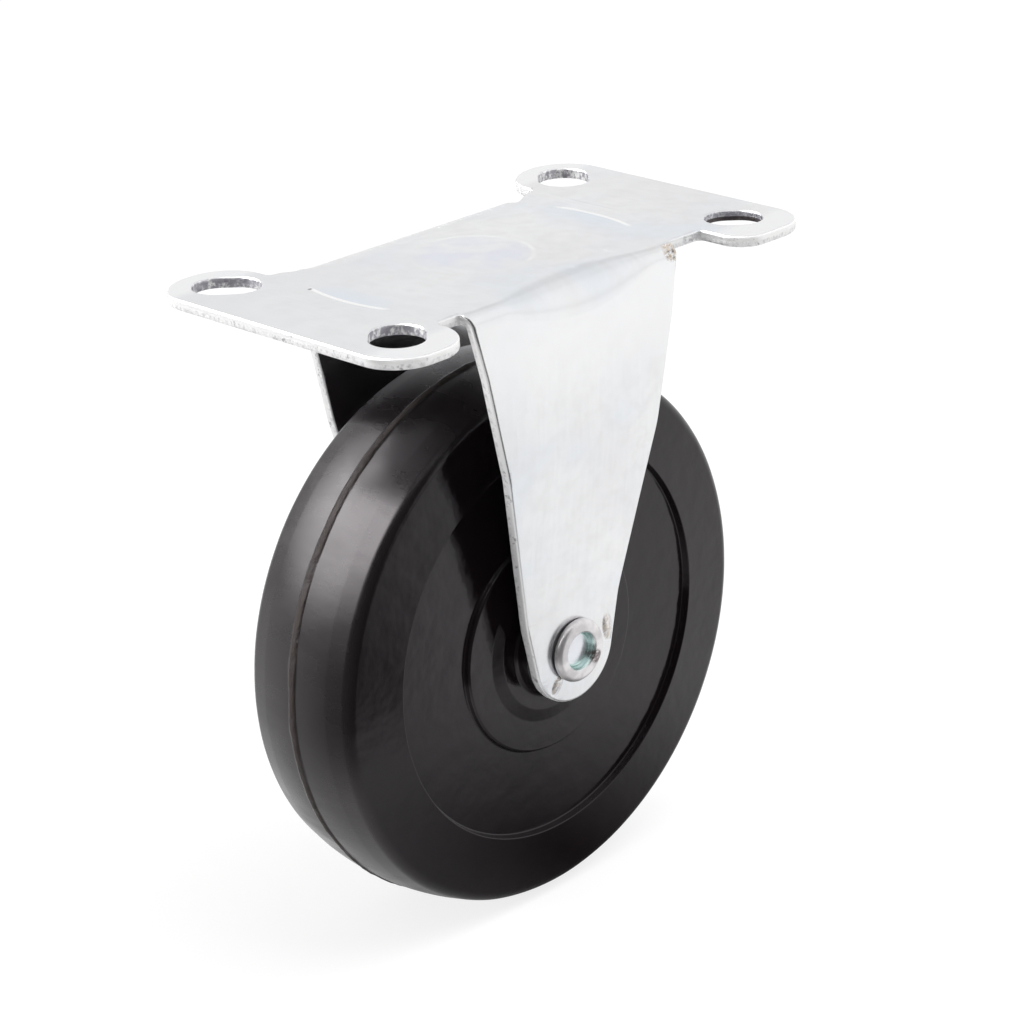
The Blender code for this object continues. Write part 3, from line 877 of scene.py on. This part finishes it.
def make_bracket(s):
    blank = Blank(s)
    marks = Marks(blank)
    mesh = blank_mesh(blank)
    bm = bmesh.new()
    bm.from_mesh(mesh)
    bmesh.ops.remove_doubles(bm, verts=bm.verts, dist=1e-6)
    mark_fill_edges(bm)
    cut_grid(bm, blank)
    cut_marks(bm, marks)
    bmesh.ops.dissolve_edges(bm, edges=[edge for edge in bm.edges if edge.seam], use_verts=False)
    roughen_walls(bm, blank)
    flat = bm.verts.layers.float_vector.new("flat")
    for vert in bm.verts:
        depth = s.sheet / 2 - vert.co.z
        place = Vector((vert.co.x, vert.co.y, -depth))
        vert[flat] = (vert.co.x, vert.co.y, depth)
        vert.co = blank.folded(place, marks.lift(vert.co.x, vert.co.y, depth))
    bmesh.ops.recalc_face_normals(bm, faces=bm.faces)
    bm.to_mesh(mesh)
    bm.free()
    mesh.name = "plated_bracket"
    material = zinc_finish(s, blank, marks)
    return new_piece("plated_bracket", mesh, material, "bracket_body", "bracket")


def rounded(corners, steps):
    """A section's points; each corner comes with the radius that rounds it, or 0 where it stays sharp."""
    points = []
    for index, (corner, radius) in enumerate(corners):
        point = Vector(corner)
        if not radius:
            points.append(point)
            continue
        back = (Vector(corners[index - 1][0]) - point).normalized()
        ahead = (Vector(corners[index + 1][0]) - point).normalized()
        half = back.angle(ahead) / 2
        centre = point + (back + ahead).normalized() * radius / math.sin(half)
        first = point + back * radius / math.tan(half) - centre
        last = point + ahead * radius / math.tan(half) - centre
        sweep = first.angle_signed(last)
        for step in range(steps + 1):
            turn = -sweep * step / steps
            points.append(centre + Vector((first.x * math.cos(turn) - first.y * math.sin(turn),
                                           first.x * math.sin(turn) + first.y * math.cos(turn))))
    return points


def divided(points, pitch):
    """The same section with its long runs cut into short ones."""
    result = [points[0]]
    for first, second in zip(points, points[1:]):
        parts = max(1, math.ceil((second - first).length / pitch))
        result += [first.lerp(second, part / parts) for part in range(1, parts + 1)]
    return result


def spun(section, steps):
    """Turn a closed section of (radius, place along the axle) points about the axle."""
    bm = bmesh.new()
    verts = [bm.verts.new((AXLE.x + point.x, point.y, AXLE.z)) for point in section]
    edges = [bm.edges.new(pair) for pair in zip(verts, verts[1:])]
    if section[0].x > 0:
        edges.append(bm.edges.new((verts[-1], verts[0])))
    bmesh.ops.spin(bm, geom=verts + edges, cent=AXLE, axis=(0, 1, 0), angle=2 * math.pi, steps=steps,
                   use_merge=True, use_duplicate=False)
    bmesh.ops.remove_doubles(bm, verts=bm.verts, dist=1e-7)
    bmesh.ops.recalc_face_normals(bm, faces=bm.faces)
    return bm


def two_sided(half):
    """A whole section from the half on one side of the wheel's middle."""
    return half + [Vector((point.x, -point.y)) for point in half[::-1] if point.y > 1e-6]


WHEEL_STEPS = 288
WHEEL_PITCH = 1.6 * MM
WHEEL_ROUND_STEPS = 8
CROWN_STEPS = 14
FLASH_PITCH = 0.16 * MM
FLASH_REACH = 1.3 * MM
# Between the sleeve and the wheel's bore, and from the parting line down to the tread itself
RUNNING_GAP = 0.3 * MM
TREAD_DROP = 0.2 * MM


def wheel_section(s):
    """Half of the wheel's section, from the bore's end over the side and the tread to the middle."""
    hub_end = WHEEL_HIGH.y
    crown = s.radius - TREAD_DROP - s.crown_radius
    side_at = s.rim_half - s.side_taper
    reach = side_at - 2 * s.shoulder_radius

    def on_crown(along):
        return Vector((crown + math.sqrt(s.crown_radius ** 2 - along ** 2), along))

    tread = [on_crown(reach + (FLASH_REACH - reach) * step / CROWN_STEPS) for step in range(CROWN_STEPS + 1)]
    corners = [
        ((SLEEVE_HIGH.x - AXLE.x + RUNNING_GAP, hub_end), 0),
        ((s.hub_radius, hub_end), 0.5 * MM),
        ((s.hub_radius + s.draft, s.collar_half), 0.8 * MM),
        ((s.collar_radius, s.collar_half), 1.6 * MM),
        ((s.collar_radius + s.collar_slope, s.boss_half), 1.6 * MM),
        ((s.boss_radius, s.boss_half), 0.5 * MM),
        ((s.boss_radius + s.draft, s.web_half), 0.25 * MM),
        ((s.rim_inner - s.rim_slope, s.web_half), 0.22 * MM),
        ((s.rim_inner, s.rim_half), 0.18 * MM),
        (on_crown(side_at), s.shoulder_radius),
        (tread[0], 0),
    ]
    flash = math.ceil(FLASH_REACH / FLASH_PITCH)
    middle = [on_crown(FLASH_REACH * (1 - step / flash)) for step in range(1, flash + 1)]
    return divided(rounded(corners, WHEEL_ROUND_STEPS), WHEEL_PITCH) + tread[1:] + middle


# How far the parting line wanders to the sides, and how uneven the tread is
WANDER = 0.18 * MM
TREAD_UNEVEN = 0.06 * MM


def shape_tread(bm, s):
    """Raise the ragged flash along the parting line and make the tread slightly uneven."""
    for vert in bm.verts:
        away = Vector((vert.co.x - AXLE.x, 0.0, vert.co.z - AXLE.z))
        radius = away.length
        if radius < s.radius * 0.9:
            continue
        out = away / radius
        turn = math.atan2(away.z, away.x)
        ragged = 0.75 + 0.55 * wave(out.x, out.z, 40, 2.0) + 0.35 * wave(out.x, out.z, 160, 4.0)
        width = s.flash_width * (0.85 + 0.5 * wave(out.x, out.z, 22, 9.0))
        off = (vert.co.y - WANDER * wave(out.x, out.z, 6, 7.0)) / width
        ridge = s.flash_height * max(ragged, 0.15) * math.exp(-off ** 4)
        uneven = TREAD_UNEVEN * noise.noise(Vector((turn * 5.0, vert.co.y * 90, 0.0)))
        vert.co += out * (ridge + uneven)


# Colours in the rubber, besides those among the settings
RUBBER_CLOUD = (0.0085, 0.0055, 0.0070)
RUBBER_BLOOM = (0.016, 0.011, 0.013)
TREAD_BLOOM = (0.022, 0.019, 0.020)


def rubber_finish(s):
    """Black moulded rubber: satin, faintly mottled, brown along the torn parting line."""
    finish = Finish("moulded_rubber", s.rubber)
    place = finish.object_place()
    x, y, z = finish.xyz(place)
    radius = distance(x - AXLE.x, z - AXLE.z)
    cloud = finish.noise(place, 55.0, 4.0, 0.6)
    bloom = finish.noise(place, 210.0, 3.0, 0.6)
    grain = finish.noise(place, 2600.0, 2.0, 0.6)
    tread = finish.step(radius, s.radius - 3.5 * MM, s.radius - 1.5 * MM)
    finish.coat(finish.step(cloud, 0.35, 0.7) * 0.6, RUBBER_CLOUD)
    finish.coat(grain * bloom * 0.3, RUBBER_BLOOM)
    finish.coat(tread * 0.5, TREAD_BLOOM)
    wander = finish.noise(place, 90.0, 2.0, 0.5)
    seam = finish.fade(abs(y + (wander - 0.5) * 0.6 * MM), 0.50 * MM, 0.95 * MM)
    seam = seam * finish.step(radius, s.radius - 1.2 * MM, s.radius - 0.6 * MM)
    ragged = finish.step(finish.noise(place, 420.0, 3.0, 0.6), 0.30, 0.56)
    finish.coat(seam * (ragged * 0.6 + 0.4), s.flash_colour)
    finish.set("Base Color", finish.base)
    scuff = finish.noise(finish.mapped(place, scale=(1.0, 0.4, 1.0)), 130.0, 4.0, 0.62)
    worn = tread * (finish.step(scuff, 0.35, 0.7) * 0.12 + 0.09)
    finish.set("Roughness", (bloom - 0.5) * 0.06 + s.gloss + worn + seam * 0.4)
    finish.set("Specular IOR Level", 0.43)
    finish.set("Specular Tint", (1.0, 0.955, 0.985))
    dents = finish.noise(finish.mapped(place, scale=(1.0, 0.7, 1.0)), 75.0, 2.0, 0.5)
    ripples = finish.noise(place, 240.0, 2.0, 0.5)
    height = (grain * 0.35 + bloom + ripples * (1.0 - tread) * 12.0
              + tread * (scuff * 5.0 + dents * 10.0) + seam * ragged * 10.0)
    finish.set("Normal", finish.bump(height, 0.010 * MM))
    return finish.material


def make_wheel(s):
    bm = spun(two_sided(wheel_section(s)), WHEEL_STEPS)
    shape_tread(bm, s)
    mesh = mesh_of("moulded_wheel", bm)
    return new_piece("moulded_wheel", mesh, rubber_finish(s), "wheel_body", "wheel")


RIVET_STEPS = 160
RIVET_PITCH = 0.5 * MM
RIVET_ROUND_STEPS = 9
HEAD_UNEVEN = 0.03 * MM
# Place of the dark spot on the heads, from the axle
HEAD_SPOT = Vector((3.6 * MM, 0.0, -2.1 * MM))
DULL_STEEL = (0.48, 0.46, 0.47)
SPOT_BROWN = (0.12, 0.085, 0.08)


def rivet_section(s):
    """Half of the rivet's section, from the floor of its cup over the rolled head to its shank."""
    face = RIVET_HIGH.y
    seat = face - s.head_thickness
    corners = [
        ((0.0, face - s.cup_depth), 0),
        ((s.cup_radius, face - s.cup_depth), 0.3 * MM),
        ((s.cup_radius + 0.1 * MM, face - 0.6 * MM), 0.4 * MM),
        ((s.mouth_radius, face), 0.45 * MM),
        ((s.head_radius, face), s.head_round),
        ((s.head_radius, seat), 0.3 * MM),
        ((s.shank_radius, seat), 0),
        ((s.shank_radius, 0.0), 0),
    ]
    return divided(rounded(corners, RIVET_ROUND_STEPS), RIVET_PITCH)


def steel_finish(name, s):
    """Rolled, plated steel: bright, turned round the axle, greenish on the wall of its cup."""
    finish = Finish(name, s.steel)
    place = finish.object_place()
    x, y, z = finish.xyz(place)
    radius = distance(x - AXLE.x, z - AXLE.z)
    grain = finish.noise(place, 1800.0, 3.0, 0.6)
    cloud = finish.noise(place, 380.0, 2.0, 0.5)
    finish.coat(finish.step(cloud, 0.4, 0.65) * 0.5, DULL_STEEL)
    inside = finish.fade(radius, s.cup_radius + 0.15 * MM, s.mouth_radius + 0.1 * MM)
    wall = finish.step(radius, s.cup_radius - 0.45 * MM, s.cup_radius - 0.2 * MM)
    finish.coat(inside * 0.9, finish.blend(wall, s.cup_floor, s.tint))
    away = distance(x - (AXLE.x + HEAD_SPOT.x), z - (AXLE.z + HEAD_SPOT.z))
    spot = finish.fade(away, 0.9 * MM, 1.5 * MM)
    finish.coat(spot * finish.step(grain, 0.30, 0.5) * 0.85, SPOT_BROWN)
    finish.set("Base Color", finish.base)
    finish.set("Metallic", 0.78)
    turned = finish.add("ShaderNodeCombineXYZ", None, {0: radius, 1: y})
    rings = finish.noise(turned, 3200.0, 2.0, 0.5)
    finish.set("Roughness", (cloud - 0.5) * 0.2 + 0.31 - inside * 0.08)
    finish.set("Normal", finish.bump(grain * 0.8 + rings * 0.7, 0.006 * MM))
    return finish.material


def make_rivet(s):
    bm = spun(two_sided(rivet_section(s)), RIVET_STEPS)
    for vert in bm.verts:
        if abs(vert.co.y) > RIVET_HIGH.y - s.head_thickness:
            vert.co += vert.co.normalized() * HEAD_UNEVEN * noise.noise(vert.co * 700)
    mesh = mesh_of("rolled_rivet", bm)
    material = steel_finish("plated_rivet", s)
    return new_piece("rolled_rivet", mesh, material, "bracket_body", "hollow_rivet_axle")


def make_sleeve(s):
    """The sleeve is hardly seen between hub and legs, so its own solid is kept and only gets its finish."""
    sleeve = frame["nodes"]["spacer_sleeve"]
    material = steel_finish("drawn_tube", s)
    if not sleeve.material_slots:
        sleeve.data.materials.append(material)
    for slot in sleeve.material_slots:
        slot.material = material
    return sleeve


def aimed_at(place, target, roll=0.0):
    """Matrix of a camera or lamp that looks from one place to another."""
    back = (Vector(place) - Vector(target)).normalized()
    right = Vector((0, 0, 1)).cross(back).normalized()
    up = back.cross(right)
    turn = Matrix((right, up, back)).transposed().to_4x4()
    return Matrix.Translation(place) @ turn @ Matrix.Rotation(roll, 4, "Z")


def make_camera(s):
    camera = bpy.data.cameras.new("photo_camera")
    camera.sensor_width = 36.0
    camera.lens = s.lens
    camera.clip_start = 0.01
    holder = linked("photo_camera", camera)
    around = s.azimuth
    above = s.elevation
    back = Vector((math.sin(around) * math.cos(above), -math.cos(around) * math.cos(above), math.sin(above)))
    place = Vector(s.place)
    holder.matrix_world = aimed_at(place, place - back, s.roll)
    bpy.context.scene.camera = holder


def make_lamp(name, place, size, power):
    lamp = bpy.data.lights.new(name, "AREA")
    lamp.shape = "RECTANGLE"
    lamp.size = size[0]
    lamp.size_y = size[1]
    lamp.energy = power
    holder = linked(name, lamp)
    holder.matrix_world = aimed_at(place, LAMPS_AIM)
    holder.visible_glossy = False


LAMPS_AIM = Vector((0.0, 0.0, -0.05))
# Sides of the studio, as directions from the castor
FRONT = Vector((-0.70, -0.72, 0.0))
LEFT = Vector((-0.39, 0.92, 0.0))
SOFTBOX = Vector((-0.526, 0.473, 0.707))
GAP = Vector((0.658, 0.378, 0.650))
RIGHT_PANEL = Vector((0.66, -0.52, 0.53))
# Middle of the shade under the wheel, as gloss sees it
SHADE = Vector((12 * MM, -20 * MM, 0.0))
FLOOR_SIZE = 12.0


def sector(nodes, vector, side, low, high):
    """1 toward one side of the studio and 0 elsewhere, whatever the height."""
    x, y, _ = nodes.xyz(vector)
    facing = (x * side.x + y * side.y) / distance(x, y).most(1e-5)
    return nodes.step(facing, low, high)


def patch(nodes, vector, centre, low, high):
    """1 round one direction and 0 away from it."""
    x, y, z = nodes.xyz(vector)
    return nodes.step(x * centre.x + y * centre.y + z * centre.z, low, high)


def make_floor():
    """White to the camera but for the castor's shadow; gloss sees it darker under the wheel and in front."""
    bm = bmesh.new()
    bmesh.ops.create_grid(bm, x_segments=2, y_segments=2, size=FLOOR_SIZE / 2)
    bmesh.ops.translate(bm, verts=bm.verts, vec=(0, 0, WHEEL_LOW.z - 0.1 * MM))
    mesh = mesh_of("studio_floor", bm)
    floor = linked("studio_floor", mesh)
    finish = Finish("studio_floor")
    finish.tree.nodes.remove(finish.shader)
    is_camera, is_glossy = finish.rays()
    place = finish.object_place()
    x, y, _ = finish.xyz(place)
    lit = finish.step(distance(x - SHADE.x, y - SHADE.y), -10 * MM, 85 * MM)
    behind = finish.step(y, -14 * MM, -6 * MM) * finish.fade(x, -10 * MM, 5 * MM)
    lit = lit.most(behind * 0.55)
    front = sector(finish, place, FRONT, 0.10, 0.70)
    front = front * finish.step(distance(x, y), 60 * MM, 130 * MM)
    left = sector(finish, place, LEFT, 0.62, 0.90)
    glow = is_camera * 0.80 + is_glossy * lit.most(left * 1.12) * (1.0 - front * 0.92)
    emission = finish.add("ShaderNodeEmission", None, {"Strength": glow})
    paint = finish.add("ShaderNodeBsdfDiffuse", None, {"Color": (0.8, 0.8, 0.8, 1.0)})
    black = finish.add("ShaderNodeBsdfDiffuse", None, {"Color": (0.0, 0.0, 0.0, 1.0)})
    # The camera sees mostly the floor's own white, and enough lit paint to show the shadow
    hidden = is_glossy.most(is_camera * 0.68)
    surface = finish.add("ShaderNodeMixShader", None, {0: hidden, 1: paint, 2: black})
    both = finish.add("ShaderNodeAddShader", None, {0: surface, 1: emission})
    finish.tree.links.new(both.socket, finish.tree.nodes["Material Output"].inputs["Surface"])
    mesh.materials.append(finish.material)


def make_surround(s):
    """White all round for the camera; for gloss, a bright studio with a dark front."""
    world = bpy.data.worlds.new("studio")
    bpy.context.scene.world = world
    world.use_nodes = True
    nodes = Nodes(world.node_tree)
    background = world.node_tree.nodes["Background"]
    background.inputs["Color"].default_value = (1.0, 1.0, 1.0, 1.0)
    is_camera, is_glossy = nodes.rays()
    direction = nodes.add("ShaderNodeTexCoord", None, None, 0)
    front = sector(nodes, direction, FRONT, 0.42, 0.66)
    _, _, up = nodes.xyz(direction)
    front = front * nodes.fade(up, 0.70, 0.90)
    softbox = patch(nodes, direction, SOFTBOX, 0.70, 0.97) ** 1.8
    gloss = 0.93 - patch(nodes, direction, GAP, 0.955, 0.990) * 0.11
    gloss = gloss + patch(nodes, direction, RIGHT_PANEL, 0.86, 0.98) * 0.09
    gloss = gloss * (1.0 - front * 0.92) + softbox * 9.0
    strength = is_camera + (1.0 - is_camera) * (is_glossy * gloss + (1.0 - is_glossy) * s.surround)
    feed(nodes.tree, background.inputs["Strength"], strength)


def make_stage(s):
    make_camera(s)
    make_lamp("top_lamp", place=(0.25, -0.35, 0.95), size=(0.9, 0.9), power=s.key)
    make_lamp("left_lamp", place=(-0.80, 0.42, 0.16), size=(0.34, 0.26), power=s.side)
    make_floor()
    make_surround(s)
    bpy.context.scene.view_settings.view_transform = "Standard"


class CASTOR_OT_bracket(bpy.types.Operator):
    """Fold the zinc plated bracket from its flat blank."""
    bl_idname = "castor.bracket"
    bl_label = "Bracket"

    def execute(self, context):
        make_bracket(context.scene.castor_bracket)
        return {"FINISHED"}


class CASTOR_OT_wheel(bpy.types.Operator):
    """Turn the moulded rubber wheel with its parting line."""
    bl_idname = "castor.wheel"
    bl_label = "Wheel"

    def execute(self, context):
        make_wheel(context.scene.castor_wheel)
        return {"FINISHED"}


class CASTOR_OT_axle(bpy.types.Operator):
    """Turn the hollow rivet and finish the sleeve that it passes through."""
    bl_idname = "castor.axle"
    bl_label = "Axle"

    def execute(self, context):
        make_rivet(context.scene.castor_rivet)
        make_sleeve(context.scene.castor_rivet)
        return {"FINISHED"}


class CASTOR_OT_stage(bpy.types.Operator):
    """Set the camera, the lamps, the floor and the surround."""
    bl_idname = "castor.stage"
    bl_label = "Stage"

    def execute(self, context):
        make_stage(context.scene.castor_stage)
        return {"FINISHED"}


class CASTOR_PT_panel(bpy.types.Panel):
    """The castor's pieces in the 3D view's sidebar."""
    bl_label = "Fixed Castor"
    bl_space_type = "VIEW_3D"
    bl_region_type = "UI"
    bl_category = "Castor"

    def draw(self, context):
        for operator in OPERATORS:
            self.layout.operator(operator.bl_idname)


OPERATORS = (CASTOR_OT_bracket, CASTOR_OT_wheel, CASTOR_OT_axle, CASTOR_OT_stage)
SETTINGS = {
    "castor_bracket": BracketSettings,
    "castor_wheel": WheelSettings,
    "castor_rivet": RivetSettings,
    "castor_stage": StageSettings,
}
CLASSES = (*SETTINGS.values(), *OPERATORS, CASTOR_PT_panel)


def register():
    for cls in CLASSES:
        bpy.utils.register_class(cls)
    for name, group in SETTINGS.items():
        setattr(bpy.types.Scene, name, bpy.props.PointerProperty(type=group))


def unregister():
    for name in SETTINGS:
        delattr(bpy.types.Scene, name)
    for cls in reversed(CLASSES):
        bpy.utils.unregister_class(cls)


def main():
    register()
    bpy.ops.castor.bracket()
    bpy.ops.castor.wheel()
    bpy.ops.castor.axle()
    bpy.ops.castor.stage()


if __name__ == "__main__":
    main()
